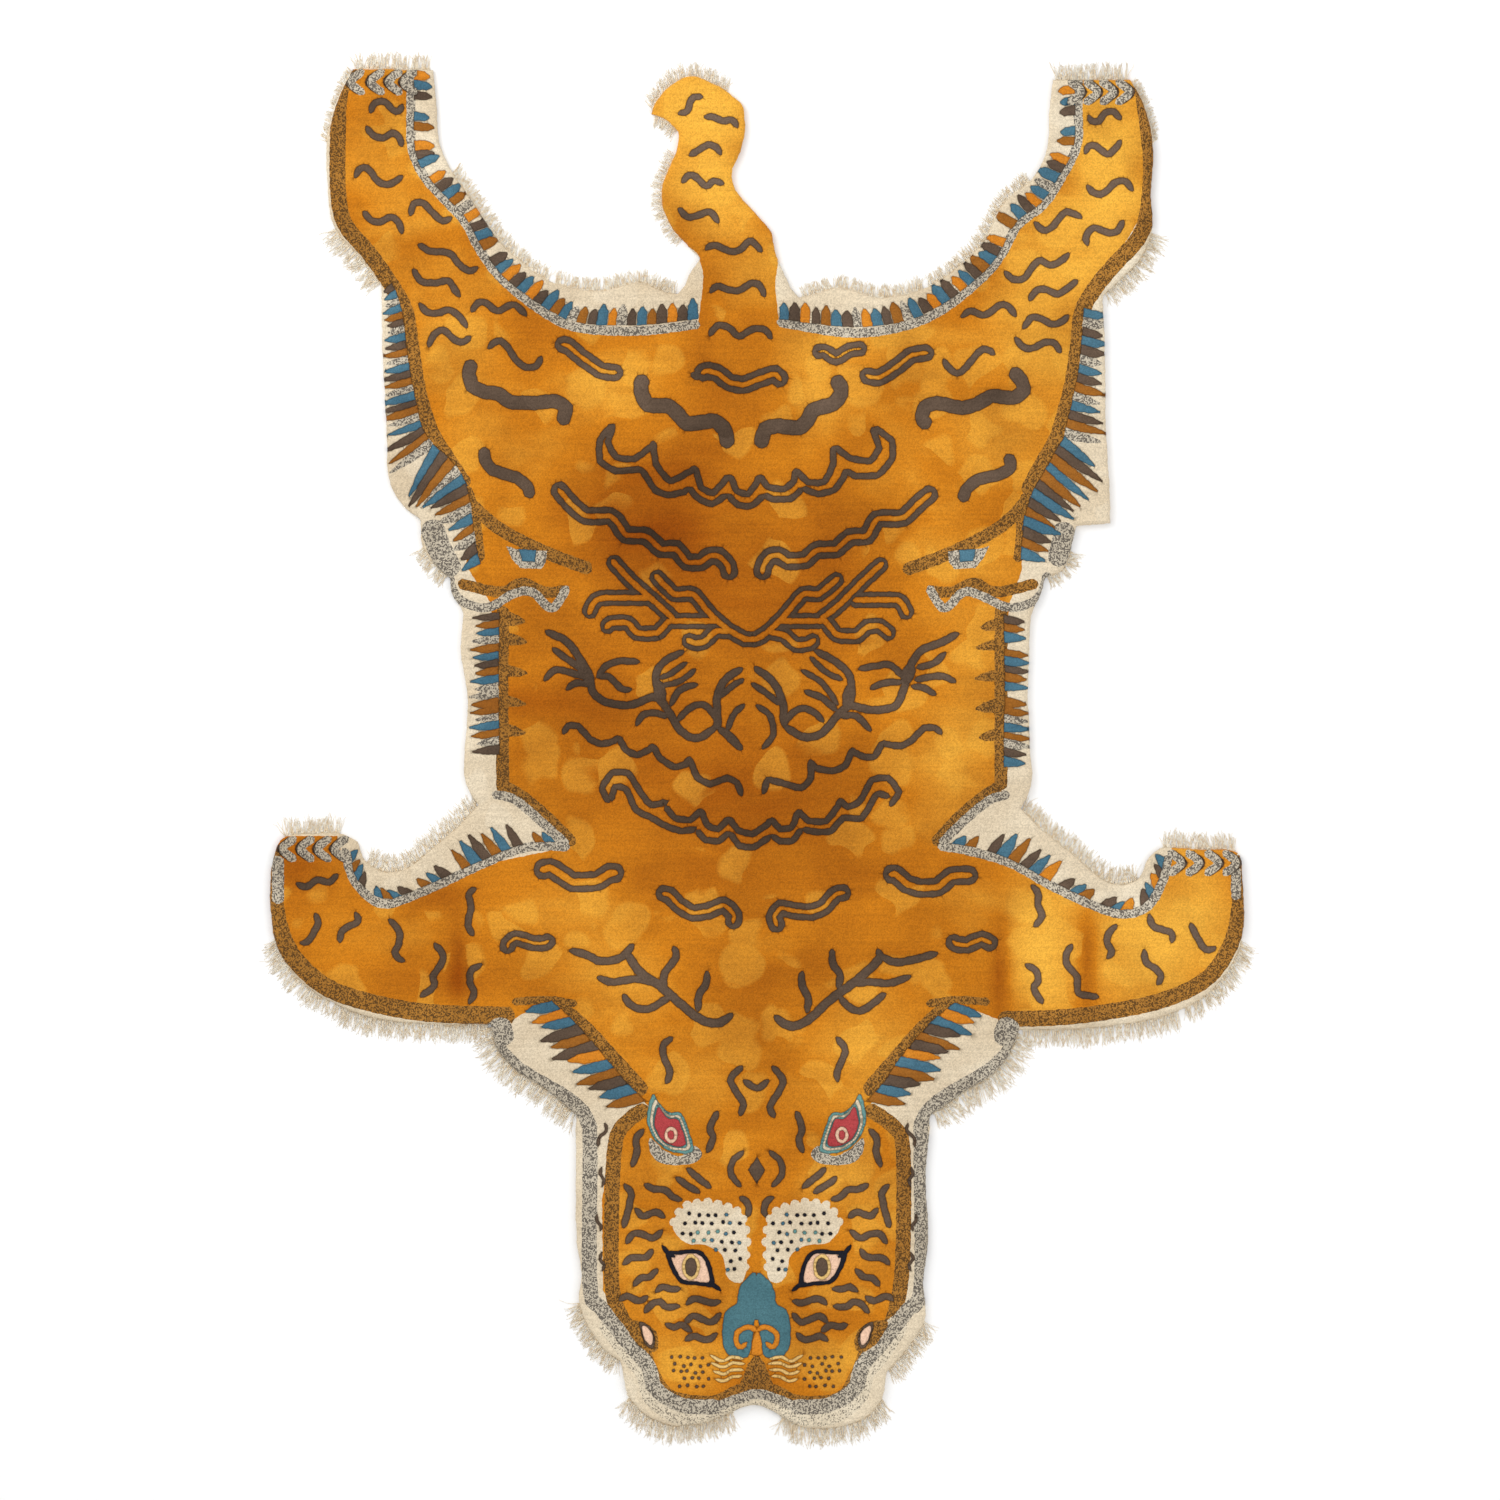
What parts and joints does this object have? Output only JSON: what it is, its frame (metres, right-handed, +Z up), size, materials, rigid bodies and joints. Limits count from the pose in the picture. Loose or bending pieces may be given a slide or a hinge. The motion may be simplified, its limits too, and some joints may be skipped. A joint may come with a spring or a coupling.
{
  "type": "tiger-shaped rug",
  "caption": "Flat knotted wool rug in the outline of a tiger skin, with four legs, tail and head and a short cotton fringe, laid pile side up.",
  "frame": {"origin": "on the floor under the middle of the back, on the rug's flat underside", "axes": "+Y runs along the back towards the tail, +X runs to the right as the rug is seen from above with its tail up, so the nodes named left lie on -X, and +Z is up out of the pile"},
  "size_m": [1.4988, 2.1183, 0.0148],
  "materials": {
    "wool_pile": "cut wool pile, saffron with dark stripes",
    "cotton_warp": "undyed cotton warp ends"
  },
  "bodies": {
    "root": {"rug_cloth": "wool_pile", "fringe_left_rump": "cotton_warp", "fringe_left_thigh": "cotton_warp", "fringe_left_hind_paw": "cotton_warp", "fringe_left_hind_side": "cotton_warp", "fringe_left_heel": "cotton_warp", "fringe_left_mouth": "cotton_warp", "fringe_left_forearm": "cotton_warp", "fringe_left_front_paw": "cotton_warp", "fringe_left_elbow": "cotton_warp", "fringe_left_arm": "cotton_warp", "fringe_left_neck": "cotton_warp", "fringe_left_jowl": "cotton_warp", "fringe_left_muzzle": "cotton_warp", "fringe_right_rump": "cotton_warp", "fringe_right_thigh": "cotton_warp", "fringe_right_hind_paw": "cotton_warp", "fringe_right_hind_side": "cotton_warp", "fringe_right_heel": "cotton_warp", "fringe_right_mouth": "cotton_warp", "fringe_right_forearm": "cotton_warp", "fringe_right_front_paw": "cotton_warp", "fringe_right_elbow": "cotton_warp", "fringe_right_arm": "cotton_warp", "fringe_right_neck": "cotton_warp", "fringe_right_jowl": "cotton_warp", "fringe_right_muzzle": "cotton_warp", "fringe_tail_bow": "cotton_warp", "fringe_tail_hook": "cotton_warp", "fringe_tail_tip": "cotton_warp"}
  },
  "joints": []
}
